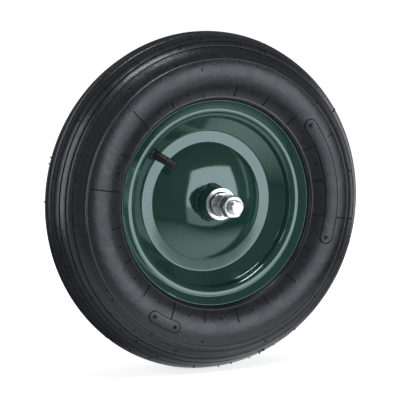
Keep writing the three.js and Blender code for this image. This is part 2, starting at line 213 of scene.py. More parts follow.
def make_floor():
    """A white ground to stand on, and a card lying on it that only shows in glossy surfaces."""
    floor = ground_sheet("floor", -30, 30, -30, 30, 0, white_ground())
    floor.visible_glossy = False
    card = ground_sheet("bounce_card", -0.9, 0.9, CARD_FRONT, 0.6, 0.2 * MM, bounce_card())
    card.visible_camera = False
    card.visible_diffuse = False
    card.visible_shadow = False
    card.visible_transmission = False


def make_stage():
    make_camera()
    make_world()
    make_floor()
    make_lights()
    bpy.context.scene.view_settings.view_transform = "Standard"
    bpy.context.scene.view_settings.look = "None"


# ---------------------------------------------------------------- materials


NOISE_ROUGHNESS = 0.55


class Nodes:
    """A short way to build a material's node tree around its Principled shader."""

    def __init__(self, name):
        self.material = bpy.data.materials.new(name)
        self.material.use_nodes = True
        self.tree = self.material.node_tree
        self.shader = self.tree.nodes["Principled BSDF"]
        self.coordinates = self.tree.nodes.new("ShaderNodeTexCoord").outputs["Object"]

    def link(self, source, target):
        self.tree.links.new(source, target)

    def set(self, **values):
        """Constants on the shader's own sockets, such as Coat_Weight=1."""
        for key, value in values.items():
            self.shader.inputs[key.replace("_", " ")].default_value = value

    def axis(self, name):
        """One coordinate of the place on the object, in metres."""
        node = self.tree.nodes.new("ShaderNodeSeparateXYZ")
        self.link(self.coordinates, node.inputs[0])
        return node.outputs[name]

    def noise(self, size, detail=4):
        """Noise whose features are about size metres across."""
        node = self.tree.nodes.new("ShaderNodeTexNoise")
        node.inputs["Scale"].default_value = 1 / size
        node.inputs["Detail"].default_value = detail
        node.inputs["Roughness"].default_value = NOISE_ROUGHNESS
        self.link(self.coordinates, node.inputs["Vector"])
        return node.outputs["Fac"]

    def ranged(self, source, low, high, start=0.3, end=0.7):
        """source from start..end mapped to low..high."""
        node = self.tree.nodes.new("ShaderNodeMapRange")
        node.inputs["From Min"].default_value = start
        node.inputs["From Max"].default_value = end
        node.inputs["To Min"].default_value = low
        node.inputs["To Max"].default_value = high
        self.link(source, node.inputs["Value"])
        return node.outputs["Result"]

    def maths(self, operation, *values):
        node = self.tree.nodes.new("ShaderNodeMath")
        node.operation = operation
        for socket, value in zip(node.inputs, values):
            if isinstance(value, (int, float)):
                socket.default_value = value
            else:
                self.link(value, socket)
        return node.outputs[0]

    def product(self, first, *others):
        for other in others:
            first = self.maths("MULTIPLY", first, other)
        return first

    def colours(self, source, first, second):
        node = self.tree.nodes.new("ShaderNodeMix")
        node.data_type = "RGBA"
        node.inputs[6].default_value = (*first, 1)
        node.inputs[7].default_value = (*second, 1)
        self.link(source, node.inputs[0])
        return node.outputs[2]

    def bump(self, height, depth):
        """Adds a bump of depth metres to the bumps already there."""
        node = self.tree.nodes.new("ShaderNodeBump")
        node.inputs["Distance"].default_value = depth
        self.link(height, node.inputs["Height"])
        normal = self.shader.inputs["Normal"]
        if normal.is_linked:
            self.link(normal.links[0].from_socket, node.inputs["Normal"])
        self.link(node.outputs[0], normal)

    def base(self, source):
        self.link(source, self.shader.inputs["Base Color"])

    def roughness(self, source):
        self.link(source, self.shader.inputs["Roughness"])


def white_ground():
    """White paper that also glows, more so farther back, where the lights don't reach."""
    n = Nodes("white_ground")
    n.set(Roughness=0.9, Specular_IOR_Level=0.1, Emission_Color=(1, 1, 1, 1))
    n.link(n.ranged(n.axis("Y"), 0.72, 1.0, start=0.15, end=0.9), n.shader.inputs["Emission Strength"])
    n.base(n.ranged(n.noise(0.5), 0.88, 0.9))
    return n.material


def bounce_card():
    """Light from the ground, brightest in front of the wheel and dark behind it on the left."""
    n = Nodes("bounce_card")
    n.set(Roughness=0.9, Specular_IOR_Level=0.0, Base_Color=(0, 0, 0, 1), Emission_Color=(1, 1, 1, 1))
    x, y = n.axis("X"), n.axis("Y")
    front = n.ranged(y, 0.0, 1.0, start=CARD_FRONT, end=-0.17)
    left = n.ranged(x, 0.55, 1.0, start=-0.25, end=0.0)
    slanted = n.maths("SUBTRACT", x, n.product(y, 0.9))
    right = n.ranged(slanted, 1.0, 0.0, start=0.36, end=0.62)
    near = n.ranged(y, 1.0, 0.0, start=-0.10, end=0.0)
    ahead = n.product(front, left, right, near)
    back = n.ranged(y, 0.0, 1.0, start=-0.16, end=-0.06)
    not_left = n.ranged(x, 0.0, 1.0, start=-0.12, end=0.04)
    not_right = n.ranged(x, 1.0, 0.25, start=0.08, end=0.24)
    behind = n.product(back, not_left, not_right)
    strength = n.product(n.maths("MAXIMUM", ahead, behind), 1.1)
    n.link(strength, n.shader.inputs["Emission Strength"])
    return n.material


def tyre_rubber():
    """Satin black moulded rubber, a little dusty and uneven."""
    n = Nodes("tyre_rubber")
    n.set(Specular_IOR_Level=0.55, Specular_Tint=(0.93, 0.96, 1.0, 1))
    n.base(n.colours(n.noise(25 * MM), (0.0080, 0.0092, 0.0118), (0.0125, 0.0140, 0.0175)))
    n.roughness(n.ranged(n.noise(12 * MM, detail=6), 0.24, 0.33))
    n.bump(n.noise(1.1 * MM, detail=5), 0.08 * MM)
    n.bump(n.noise(9 * MM, detail=2), 0.30 * MM)
    return n.material


def flash_with_painted_shade():
    """The duller skin of the thin fins and stubs that a mould leaves on a tyre, with painted shade: its colour is
    far darker than the tyre's, for the shade along them.
    """
    n = Nodes("flash_with_painted_shade")
    n.set(Specular_IOR_Level=0.2)
    # painted shade: this dark base stands in for the shade beside fins, stubs and panel edges
    n.base(n.colours(n.noise(3 * MM), (0.0020, 0.0022, 0.0027), (0.0045, 0.0048, 0.0056)))
    n.roughness(n.ranged(n.noise(2 * MM), 0.55, 0.7))
    return n.material


def green_paint():
    """Gloss dark green enamel with a faint orange-peel skin."""
    n = Nodes("green_paint")
    n.set(IOR=1.85, Specular_Tint=(0.73, 1.0, 0.96, 1))
    n.base(n.colours(n.noise(30 * MM), (0.0080, 0.033, 0.0230), (0.0105, 0.041, 0.0285)))
    n.roughness(n.ranged(n.noise(8 * MM), 0.07, 0.11))
    n.bump(n.noise(2.2 * MM, detail=2), 0.012 * MM)
    return n.material


def weld_paint():
    """The same green paint over a spattered weld, duller and darker than elsewhere."""
    n = Nodes("weld_paint")
    n.set(IOR=1.6, Specular_Tint=(0.73, 1.0, 0.96, 1))
    n.base(n.colours(n.noise(2 * MM), (0.0045, 0.014, 0.0105), (0.0085, 0.028, 0.0200)))
    n.roughness(n.ranged(n.noise(1.5 * MM), 0.26, 0.5))
    n.bump(n.noise(1.0 * MM, detail=4), 0.25 * MM)
    return n.material


def metal(name, first, second, smooth, rough, grain=0.4 * MM, depth=0.004 * MM):
    n = Nodes(name)
    n.set(Metallic=1.0)
    n.base(n.colours(n.noise(3 * MM), first, second))
    n.roughness(n.ranged(n.noise(1.5 * MM, detail=6), smooth, rough))
    n.bump(n.noise(grain, detail=4), depth)
    return n.material


def zinc_plate():
    return metal("zinc_plate", (0.66, 0.71, 0.70), (0.80, 0.85, 0.84), 0.22, 0.36, depth=0.01 * MM)


def bearing_steel():
    return metal("bearing_steel", (0.60, 0.61, 0.63), (0.70, 0.71, 0.73), 0.12, 0.22)


def brass():
    return metal("brass", (0.60, 0.43, 0.18), (0.72, 0.54, 0.25), 0.22, 0.36)


def plain_rubber(name, low, high, smooth, rough):
    n = Nodes(name)
    n.base(n.colours(n.noise(4 * MM), low, high))
    n.roughness(n.ranged(n.noise(2 * MM, detail=5), smooth, rough))
    n.bump(n.noise(0.6 * MM, detail=4), 0.03 * MM)
    return n.material


def make_materials():
    return {
        "tyre_rubber": tyre_rubber(),
        "flash_with_painted_shade": flash_with_painted_shade(),
        "tube_rubber": plain_rubber("tube_rubber", (0.016, 0.016, 0.017), (0.024, 0.024, 0.026), 0.55, 0.7),
        "valve_rubber": plain_rubber(
            "valve_rubber", (0.011, 0.011, 0.012), (0.018, 0.018, 0.019), 0.35, 0.5
        ),
        "cap_plastic": plain_rubber("cap_plastic", (0.012, 0.012, 0.012), (0.018, 0.017, 0.016), 0.3, 0.42),
        "green_paint": green_paint(),
        "weld_paint": weld_paint(),
        "zinc_plate": zinc_plate(),
        "bearing_steel": bearing_steel(),
        "brass": brass(),
    }


# ---------------------------------------------------------------- mesh helpers


def make_mesh(name, points, faces, crease=32):
    """A mesh object with merged points, outward normals and smooth shading up to the crease angle."""
    mesh = bpy.data.meshes.new(name)
    mesh.from_pydata([tuple(p) for p in points], [], faces)
    work = bmesh.new()
    work.from_mesh(mesh)
    bmesh.ops.remove_doubles(work, verts=work.verts, dist=0.0001 * MM)
    bmesh.ops.dissolve_degenerate(work, edges=work.edges, dist=0.0001 * MM)
    bmesh.ops.recalc_face_normals(work, faces=work.faces)
    work.to_mesh(mesh)
    work.free()
    mesh.shade_smooth()
    mesh.set_sharp_from_angle(angle=math.radians(crease))
    obj = bpy.data.objects.new(name, mesh)
    bpy.context.scene.collection.objects.link(obj)
    return obj


def grid_faces(rows, columns, closed_rows, closed_columns, start=0):
    """Quads of a grid of points, stored row by row."""
    faces = []
    for i in range(rows if closed_rows else rows - 1):
        for j in range(columns if closed_columns else columns - 1):
            a, b = i % rows, (i + 1) % rows
            c, d = j % columns, (j + 1) % columns
            quad = (a * columns + c, a * columns + d, b * columns + d, b * columns + c)
            faces.append(tuple(start + k for k in quad))
    return faces


def turned_points(outline, segments):
    """Points of an outline of (radius, y) pairs turned about the Y axis."""
    points = []
    for i in range(segments):
        angle = 2 * math.pi * i / segments
        cos, sin = math.cos(angle), math.sin(angle)
        points.extend((radius * cos, y, radius * sin) for radius, y in outline)
    return points


def revolve(name, outline, segments, matrix=None, crease=32):
    """A closed outline turned about the Y axis, then moved by matrix."""
    points = turned_points(outline, segments)
    if matrix is not None:
        points = [matrix @ Vector(p) for p in points]
    return make_mesh(name, points, grid_faces(segments, len(outline), True, True), crease)


def arc(radius, y, radial, axial, start, end, steps):
    """Points along an elliptical arc, angles in degrees from the radial direction towards +Y."""
    angles = [math.radians(start + (end - start) * i / steps) for i in range(steps + 1)]
    return [(radius + radial * math.cos(a), y + axial * math.sin(a)) for a in angles]


def rounded(corners, steps=5):
    """A closed outline of (radius, y, fillet) corners, with each corner rounded by its fillet."""
    outline = []
    for i, (r, y, fillet) in enumerate(corners):
        here = Vector((r, y))
        before = Vector(corners[i - 1][:2]) - here
        after = Vector(corners[(i + 1) % len(corners)][:2]) - here
        outline.extend(fillet_points(here, before, after, fillet, steps))
    return outline


def fillet_points(here, before, after, fillet, steps):
    """Points of a round corner between two edges that leave it along before and after."""
    if fillet == 0:
        return [tuple(here)]
    half = before.angle(after) / 2
    cut = min(fillet / math.tan(half), 0.49 * before.length, 0.49 * after.length)
    start = here + before.normalized() * cut
    end = here + after.normalized() * cut
    points = []
    for i in range(steps + 1):
        t = i / steps
        points.append(tuple((1 - t) ** 2 * start + 2 * t * (1 - t) * here + t * t * end))
    return points


def mirrored(outline):
    return [(radius, -y) for radius, y in reversed(outline)]


def offset_line(points, distance):
    """The open line beside a line of (radius, y) points, distance to its right."""
    result = []
    for i, point in enumerate(points):
        before = Vector(points[max(i - 1, 0)])
        after = Vector(points[min(i + 1, len(points) - 1)])
        along = (after - before).normalized()
        result.append((point[0] + along.y * distance, point[1] - along.x * distance))
    return result


def finish_piece(obj, body, slot, *nodes, material=None):
    """Gives a piece its material and its body, and hides the CAD nodes that it stands for."""
    obj.data.materials.append(materials[material or slot])
    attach(obj, body)
    if nodes:
        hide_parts(*nodes)
    return obj


# ---------------------------------------------------------------- tyre
# The tyre's section is measured by an angle from the crown, in degrees: 90 is its widest point.

GROOVES = (7.9, 18.8, 30.0, 41.2, 51.3)
FINE_RIDGES = (54.3, 65.5)
SHOULDER = 73.2
BEAD_RIDGE = 128.8
SKIN_END = 130.5
SKIN_STEP = 2.0
TYRE_SEGMENTS = 300

# Outlines of grooves and ridges: (degrees from the middle, how far the skin stands out in mm).
GROOVE_OUTLINE = ((-1.5, -0.1), (-0.7, -0.5), (-0.35, -1.4), (0.35, -1.4), (0.7, -0.5), (1.5, -0.1))
RIDGE_OUTLINE = ((-1.1, 0.0), (-0.55, 0.6), (0.55, 0.6), (1.1, 0.0))
SHOULDER_OUTLINE = ((-2.0, 0.0), (-0.8, 0.8), (0.0, 1.0), (0.6, 0.9), (1.3, 0.55), (1.9, 0.0))
BEAD_RIDGE_OUTLINE = ((-2.2, 0.0), (-1.5, 0.5), (-0.7, 1.1), (0.5, 1.1), (1.3, 0.2))

# Where each outline is used, and how far to either side the plain skin's points give way to it.
SKIN_FEATURES = (
    (GROOVES, GROOVE_OUTLINE, 2.1),
    (FINE_RIDGES, RIDGE_OUTLINE, 1.7),
    ((SHOULDER,), SHOULDER_OUTLINE, 2.8),
    ((BEAD_RIDGE,), BEAD_RIDGE_OUTLINE, 2.8),
)

BEAD_STEP = ((122.3 * MM, 32.4 * MM), (121.7 * MM, 31.2 * MM), (121.6 * MM, 28.9 * MM))
BEAD_GAP = 0.35 * MM  # between the tyre's bead and the flange
CASING_WALL = 3 * MM
TREAD_WALL = 5.5 * MM


def section_point(angle, lift=0.0):
    """(radius, distance from the middle plane) on the tyre's skin, moved out along its normal."""
    a = math.radians(angle)
    height = CROWN_HEIGHT if angle < 90 else LOWER_HEIGHT
    normal = Vector((math.cos(a) / height, math.sin(a) / TYRE_HALF_WIDTH)).normalized()
    radius = SECTION_CENTRE + height * math.cos(a) + normal.x * lift
    return radius, TYRE_HALF_WIDTH * math.sin(a) + normal.y * lift


def tyre_place(angle, turn, side, lift=0.0):
    """Point on the tyre's skin at a section angle and an angle round the wheel, both in degrees."""
    radius, y = section_point(angle, lift)
    t = math.radians(turn)
    return Vector((radius * math.cos(t), side * y, radius * math.sin(t)))


def skin_lifts():
    """Section angles from crown to bead with how far the skin stands out there."""
    lifts = {float(angle): 0.0 for angle in np.arange(0, SKIN_END + 0.01, SKIN_STEP)}
    for middles, outline, clearance in SKIN_FEATURES:
        for middle in middles:
            for key in [k for k in lifts if abs(k - middle) < clearance]:
                del lifts[key]
            for away, height in outline:
                lifts[middle + away] = height * MM
    return sorted(lifts.items())


def tyre_skin():
    """Outer outline of one side of the tyre, from the crown to the bead's toe."""
    skin = [section_point(angle, lift) for angle, lift in skin_lifts()]
    flange = [(SEAT_RADIUS, SEAT_START), *flange_face()]
    under_flange = offset_line(flange, SHEET + BEAD_GAP)
    return [*skin, *BEAD_STEP, *under_flange[:0:-1]]


def tyre_cavity():
    """Inner outline of one side of the tyre, from the bead's toe to the crown."""
    toe = SEAT_RADIUS + SHEET + 0.4 * MM
    half_width = TYRE_HALF_WIDTH - CASING_WALL
    return [
        (toe, 12.5 * MM),
        (toe + 7.6 * MM, 15.5 * MM),
        (toe + 16.6 * MM, 21 * MM),
        *arc(SECTION_CENTRE, 0, LOWER_HEIGHT - CASING_WALL, half_width, 126, 90, 5),
        *arc(SECTION_CENTRE, 0, CROWN_HEIGHT - TREAD_WALL, half_width, 75, 0, 8)[:-1],
    ]


def make_tyre():
    half = tyre_skin() + tyre_cavity()
    casing = revolve("tyre_casing", half + mirrored(half)[:-1], TYRE_SEGMENTS, crease=28)
    finish_piece(casing, "wheel", "tyre_rubber", "tyre")


TEETH = 420
TOOTH_LIFTS = (0.0, 0.60 * MM, 0.60 * MM)
TOOTH_SLANT = 1.2 * 360 / TEETH
RIB_HALF_ANGLE = GROOVES[0] - 1.3


def make_tread_rib():
    """Low diagonal teeth on the rib along the tyre's crown."""
    columns = 9
    steps = TEETH * len(TOOTH_LIFTS)
    points = []
    for i in range(steps):
        turn = 360 * i / steps
        for j in range(columns):
            lift = TOOTH_LIFTS[i % len(TOOTH_LIFTS)] if 0 < j < columns - 1 else -0.2 * MM
            points.append(rib_place(2 * j / (columns - 1) - 1, turn, lift))
        points.append(rib_place(1, turn, -1.2 * MM))
        points.append(rib_place(-1, turn, -1.2 * MM))
    rib = make_mesh("tread_centre_rib", points, grid_faces(steps, columns + 2, True, True), crease=20)
    finish_piece(rib, "wheel", "tyre_rubber")


def rib_place(share, turn, lift):
    """Point on the centre rib, with share running from -1 to 1 across it."""
    side = 1 if share > 0 else -1
    return tyre_place(abs(share) * RIB_HALF_ANGLE, turn + TOOTH_SLANT * share, side, lift)


# Mould lines run in from the bead, one every 18 degrees: how far out each one reaches, as a
# section angle, in order round the wheel from the first.
MOULD_LINE_WIDTH = 1.15 * MM
MOULD_LINE_HEIGHT = 0.7 * MM
MOULD_STEP = 18
MOULD_START = 9.3
MOULD_ENDS = (
    110, 108, 106, 109, 107, 121, 113, 86.5, 106, 77, 108, 112, 105, 101, 108, 104, 110, 107, 112, 74.5,
)
MOULD_INNER_END = 127.5
MOULD_EXTRAS = ((27.9, 74, 87), (279, 60.5, 62.5), (99.5, 84, 90))  # turn, outer and inner section angle


def strip(start, end, turn, side, width, height):
    """Points and faces of a thin raised line along the tyre's section."""
    steps = max(2, int(abs(end - start) / 2))
    points = []
    for i in range(steps + 1):
        angle = start + (end - start) * i / steps
        at_end = i in (0, steps)
        radius, _ = section_point(angle)
        spread = math.degrees(width / 2 / radius)
        for offset, lift in ((-1.3, -0.25 * MM), (-0.7, height), (0.7, height), (1.3, -0.25 * MM)):
            points.append(tyre_place(angle, turn + offset * spread, side, -0.2 * MM if at_end else lift))
    faces = grid_faces(steps + 1, 4, False, True)
    last = 4 * steps
    faces += [(0, 1, 2, 3), (last + 3, last + 2, last + 1, last)]
    return points, faces


def join_parts(name, parts, crease=32):
    """One mesh object from several lists of points and faces."""
    points, faces = [], []
    for part_points, part_faces in parts:
        start = len(points)
        points += part_points
        faces += [tuple(start + k for k in face) for face in part_faces]
    return make_mesh(name, points, faces, crease)


def make_mould_lines(side_name):
    side = SIDES[side_name]
    parts = []
    for i, outer in enumerate(MOULD_ENDS):
        turn = MOULD_START + MOULD_STEP * i
        parts.append(strip(outer, MOULD_INNER_END, turn, side, MOULD_LINE_WIDTH, MOULD_LINE_HEIGHT))
    for turn, start, end in MOULD_EXTRAS:
        parts.append(strip(start, end, turn, side, MOULD_LINE_WIDTH, MOULD_LINE_HEIGHT))
    lines = join_parts(f"{side_name}_mould_lines", parts)
    # the fins are real; their dark colour is painted shade
    finish_piece(lines, "wheel", "tyre_rubber", material="flash_with_painted_shade")


def nub(place, normal, radius, height):
    """Points and faces of a small round-topped stub left by a vent hole of the mould."""
    sides = 10
    turn = Vector((0, 0, 1)).rotation_difference(normal).to_matrix()
    rings = ((1.15, -0.3 * MM), (1.0, 0.15 * MM), (0.9, 0.75 * height), (0.6, height))
    points = []
    for share, lift in rings:
        for i in range(sides):
            a = 2 * math.pi * i / sides
            local = Vector((share * radius * math.cos(a), share * radius * math.sin(a), lift))
            points.append(place + turn @ local)
    faces = grid_faces(len(rings), sides, False, True)
    faces.append(tuple(range(sides)))
    last = sides * (len(rings) - 1)
    faces.append(tuple(last + i for i in reversed(range(sides))))
    return points, faces


# Vent nubs: section angles of those between the mould lines and on the ribs, and the section angle
# and place round the wheel of one on its own.
BEAD_NUBS = 115.0
LONE_NUB = (82.5, 261.0)
NUB_RIBS = (13.3, 24.4, 35.6, 46.2, 60.0, 69.5)
NUBS_PER_RIB = 9
NUB_RADIUS = 0.95 * MM
NUB_HEIGHT = 1.5 * MM


def make_vent_nubs(side_name):
    side = SIDES[side_name]
    rng = random.Random(7 + side)
    spots = [(BEAD_NUBS, MOULD_START + MOULD_STEP * (i + 0.5)) for i in range(len(MOULD_ENDS))]
    spots.append(LONE_NUB)
    for rib in NUB_RIBS:
        spots += [(rib, rng.uniform(0, 360)) for _ in range(NUBS_PER_RIB)]
    parts = []
    for angle, turn in spots:
        place = tyre_place(angle, turn, side)
        normal = (tyre_place(angle, turn, side, 1 * MM) - place).normalized()
        parts.append(nub(place, normal, NUB_RADIUS, NUB_HEIGHT))
    nubs = join_parts(f"{side_name}_vent_nubs", parts)
    # the nubs are real; their dark colour is painted shade
    finish_piece(nubs, "wheel", "tyre_rubber", material="flash_with_painted_shade")


# Blank panels: middle as a section angle, half height, and where they start and end round the wheel.
PANELS = ((100.5, 7.5 * MM, -21.5, 40), (94, 7 * MM, 232.8, 249))
PANEL_LIFT = 0.8 * MM
PANEL_EDGE = 0.5 * MM
PANEL_FOOT = -2.2 * MM
PANEL_RECESS = 2.6 * MM
PANEL_RECESS_DEPTH = 1.3 * MM
PANEL_BUTTON = 2.0 * MM
PANEL_LINE = 0.55 * MM
PANEL_LINE_SECTION = ((-0.6, 0.95 * MM), (0.3, 1.0 * MM), (0.9, -0.3 * MM), (-0.9, -0.3 * MM))
PANEL_ROWS = 24
PANEL_STEP = 0.7 * MM


def panel_place(panel, side, x, y, lift):
    """Point on the tyre at x along and y across a panel, from its middle, in metres."""
    centre_angle, _, start_turn, end_turn = panel
    radius, _ = section_point(centre_angle)
    angle = centre_angle + y / section_speed(centre_angle)
    turn = (start_turn + end_turn) / 2 + math.degrees(x / radius)
    return tyre_place(angle, turn, side, lift)


def panel_length(panel):
    centre_angle, _, start_turn, end_turn = panel
    radius, _ = section_point(centre_angle)
    return math.radians(end_turn - start_turn) * radius


def panel_slab(panel, side):
    """Points and faces of a blank raised panel with round ends and a round recess at each end."""
    half_height = panel[1]
    length = panel_length(panel)
    inside = length / 2 - half_height
    columns = int(length / PANEL_STEP)
    top, bottom = [], []
    for i in range(columns + 1):
        for j in range(PANEL_ROWS + 1):
            x, y = (i / columns - 0.5) * length, (j / PANEL_ROWS - 0.5) * 2 * half_height
            beyond = max(abs(x) - inside, 0)
            if beyond > 0 and math.hypot(beyond, y) > half_height:
                pull = half_height / math.hypot(beyond, y)
                x, y = math.copysign(inside + beyond * pull, x), y * pull
            top.append(panel_place(panel, side, x, y, panel_lift(x, y, inside, half_height)))
            bottom.append(panel_place(panel, side, x, y, PANEL_FOOT))
    return closed_slab(top, bottom, columns + 1, PANEL_ROWS + 1)


def panel_lift(x, y, inside, half_height):
    """Height of a panel's face: it slopes down at the edge and drops into the recesses."""
    from_edge = half_height - math.hypot(max(abs(x) - inside, 0), y)
    from_recess = math.hypot(abs(x) - inside, y) - PANEL_RECESS
    lift = PANEL_LIFT * min(1, max(0, from_edge / PANEL_EDGE)) - 0.1 * MM
    return lift - (PANEL_LIFT + PANEL_RECESS_DEPTH) * min(1, max(0, 0.5 - from_recess / PANEL_EDGE))


def panel_outline(panel, side):
    """Points and faces of a thin line round a panel's edge, dark with painted shade."""
    half_height = panel[1]
    inside = panel_length(panel) / 2 - half_height
    path = []
    straight = int(inside / MM)
    for end in (1, -1):
        for step in range(17):
            a = math.radians(-90 + 180 * step / 16)
            path.append((end * (inside + half_height * math.cos(a)), end * half_height * math.sin(a)))
        for step in range(1, straight):
            path.append((end * inside * (1 - 2 * step / straight), end * half_height))
    points = []
    for i, (x, y) in enumerate(path):
        along = Vector(path[(i + 1) % len(path)]) - Vector(path[i - 1])
        out = Vector((along.y, -along.x)).normalized() * PANEL_LINE
        for share, lift in PANEL_LINE_SECTION:
            points.append(panel_place(panel, side, x + out.x * share, y + out.y * share, lift))
    return points, grid_faces(len(path), 4, True, True)


def panel_marks(panel, side):
    """Points and faces of a flat button of painted shade in the recess at each end of a panel."""
    centre_angle, half_height, start_turn, end_turn = panel
    radius, _ = section_point(centre_angle)
    inset = math.degrees(half_height / radius)
    marks = []
    for turn in (start_turn + inset, end_turn - inset):
        place = tyre_place(centre_angle, turn, side)
        normal = (tyre_place(centre_angle, turn, side, 1 * MM) - place).normalized()
        marks.append(nub(place, normal, PANEL_BUTTON, 0.5 * MM))
    return marks


def make_panels(side_name):
    side = SIDES[side_name]
    slabs = join_parts(f"{side_name}_blank_panels", [panel_slab(panel, side) for panel in PANELS])
    finish_piece(slabs, "wheel", "tyre_rubber")
    parts = [panel_outline(panel, side) for panel in PANELS]
    for panel in PANELS:
        parts += panel_marks(panel, side)
    edges = join_parts(f"{side_name}_panel_edges", parts)
    # the edge lines are dark with painted shade, and the end buttons are painted shade in the recesses
    finish_piece(edges, "wheel", "tyre_rubber", material="flash_with_painted_shade")


def section_speed(angle):
    """Length along the tyre's skin for one degree of section angle."""
    first = Vector(section_point(angle - 0.5))
    second = Vector(section_point(angle + 0.5))
    return (second - first).length


def closed_slab(top, bottom, rows, columns):
    """Points and faces of a slab between two grids of points."""
    count = rows * columns
    faces = grid_faces(rows, columns, False, False)
    faces += [tuple(reversed(face)) for face in grid_faces(rows, columns, False, False, count)]
    loop = [i * columns for i in range(rows)]
    loop += [(rows - 1) * columns + j for j in range(1, columns)]
    loop += [i * columns + columns - 1 for i in range(rows - 2, -1, -1)]
    loop += list(range(columns - 2, 0, -1))
    for a, b in zip(loop, loop[1:] + loop[:1]):
        faces.append((a, b, b + count, a + count))
    return top + bottom, faces


TUBE_GAP = 0.6 * MM
TUBE_FOOT = (RING_OUTER + 3.6 * MM, 2.2 * MM)  # (radius, half width) of its innermost edge


def make_inner_tube():
    """The inner tube as one smooth rubber ring that fills the tyre and the rim's well."""
    half = [TUBE_FOOT, *offset_line(tyre_cavity(), TUBE_GAP)]
    tube = revolve("inner_tube_ring", half + mirrored(half), 128)
    finish_piece(tube, "wheel", "tube_rubber", "inner_tube")


# ---------------------------------------------------------------- rim


def rounded_line(corners, steps=8):
    """An open line of (radius, y, fillet) corners, with each corner between its ends rounded."""
    line = [corners[0][:2]]
    for previous, corner, following in zip(corners, corners[1:], corners[2:]):
        here = Vector(corner[:2])
        before, after = Vector(previous[:2]) - here, Vector(following[:2]) - here
        line += fillet_points(here, before, after, corner[2], steps)
    return [*line, corners[-1][:2]]


def flange_face():
    """Outline of the flange's visible face: the bend from the bead seat, upright face and lip."""
    bend = arc(SEAT_RADIUS + BEND_LENGTH, BEND_AT, BEND_LENGTH, BEND_DEPTH, 180, BEND_END, 14)
    lip = rounded_line([
        (*bend[-1], 0),
        (FLANGE_FACE_START, FLANGE_FACE, 1 * MM),
        (LIP_START, FLANGE_FACE, 2.4 * MM),
        (LIP_RADIUS, LIP_EDGE, 0),
    ])
    return [*bend, *lip[1:]]


def rim_face():
    """Outline of the rim's visible face from the hub to the flange's edge, with round bends."""
    start = HUB_RADIUS + 0.3 * MM
    width = RING_INNER - start
    drop = DOME_TOP - RING_FACE
    dome = [(start + width * t, DOME_TOP - drop * t * t) for t in np.linspace(0, 0.93, 16)]
    flange = flange_face()
    well = rounded_line([
        (*dome[-1], 0),
        (RING_INNER, RING_FACE, 5 * MM),
        (RING_OUTER, RING_FACE, 4 * MM),
        (SEAT_RADIUS, SEAT_START, 3.5 * MM),
        (*flange[0], 0),
    ])
    return [*dome, *well[1:-1], *flange]


def round_edge(face, back, along):
    """Points of a half circle from the end of a sheet's face to the end of its back."""
    middle = (face + back) / 2
    across = face - middle
    angles = [math.radians(a) for a in (30, 60, 90, 120, 150)]
    return [tuple(middle + across * math.cos(a) + along * across.length * math.sin(a)) for a in angles]


def make_rim_half(side_name):
    face = rim_face()
    back = offset_line(face, SHEET)
    along = (Vector(face[-1]) - Vector(face[-2])).normalized()
    edge = round_edge(Vector(face[-1]), Vector(back[-1]), along)
    outline = [*face, *edge, *reversed(back)]
    side = SIDES[side_name]
    outline = [(r, side * y) for r, y in outline]
    shell = revolve(f"{side_name}_rim_shell", outline, 256, crease=40)
    finish_piece(shell, "wheel", "green_paint", f"{side_name}_rim_half")


WELD_SIZE = 2.6 * MM
WELD_LUMPS = 230


def make_weld(side_name):
    """Rough bead of weld round the foot of the hub tube, made of uneven lumps."""
    side = SIDES[side_name]
    rng = random.Random(11 + side)
    segments, around = 300, 16
    lumps = [weld_lump(rng) for _ in range(WELD_LUMPS)]
    centre_radius, centre_y = HUB_RADIUS + 0.3 * MM, DOME_TOP + 0.1 * MM
    points = []
    for i in range(segments):
        turn = 2 * math.pi * i / segments
        near = [lump for lump in lumps if angle_between(turn, lump[0]) < 3 * lump[2]]
        for j in range(around):
            a = 2 * math.pi * j / around
            size = WELD_SIZE
            for place, section, width, height in near:
                away = math.hypot(angle_between(turn, place) / width, angle_between(a, section) / 0.5)
                size += height * math.exp(-away * away)
            radius = centre_radius + size * math.cos(a)
            y = centre_y + 1.15 * size * math.sin(a)
            points.append((radius * math.cos(turn), side * y, radius * math.sin(turn)))
    weld = make_mesh(f"{side_name}_weld_bead", points, grid_faces(segments, around, True, True), crease=60)
    finish_piece(weld, "wheel", "green_paint", f"{side_name}_hub_weld", material="weld_paint")


def weld_lump(rng):
    """Place round the hub, place round the bead's section, width (angles) and height of one lump."""
    return (
        rng.uniform(0, 2 * math.pi),
        rng.uniform(-0.3, 1.9),
        rng.uniform(0.025, 0.085),
        rng.uniform(-0.55, 0.95) * MM,
    )


def angle_between(first, second):
    return abs((first - second + math.pi) % (2 * math.pi) - math.pi)


def make_hub():
    edge = 0.5 * MM
    outline = rounded([
        (HUB_BORE, -HUB_HALF_LENGTH, edge),
        (HUB_RADIUS, -HUB_HALF_LENGTH, edge),
        (HUB_RADIUS, HUB_HALF_LENGTH, edge),
        (HUB_BORE, HUB_HALF_LENGTH, edge),
    ])
    finish_piece(revolve("hub_barrel", outline, 128), "wheel", "green_paint", "hub_tube")


# ---------------------------------------------------------------- bearings

CUP_FLANGE = 1.4 * MM
SHIELD_SEAT = 16.5 * MM
CUP_LAND = 14.3 * MM
GROOVE_RADIUS = BALL_RADIUS + 0.18 * MM
SHIELD_BORE = 14.5 * MM
WASHER_BORE = 8.2 * MM
RACE_BORE = 8.15 * MM
RACE_SHOULDER = 10.6 * MM
RACE_COLLAR = 13.6 * MM


def on_side(outline, side_name):
    return [(radius, SIDES[side_name] * y) for radius, y in outline]


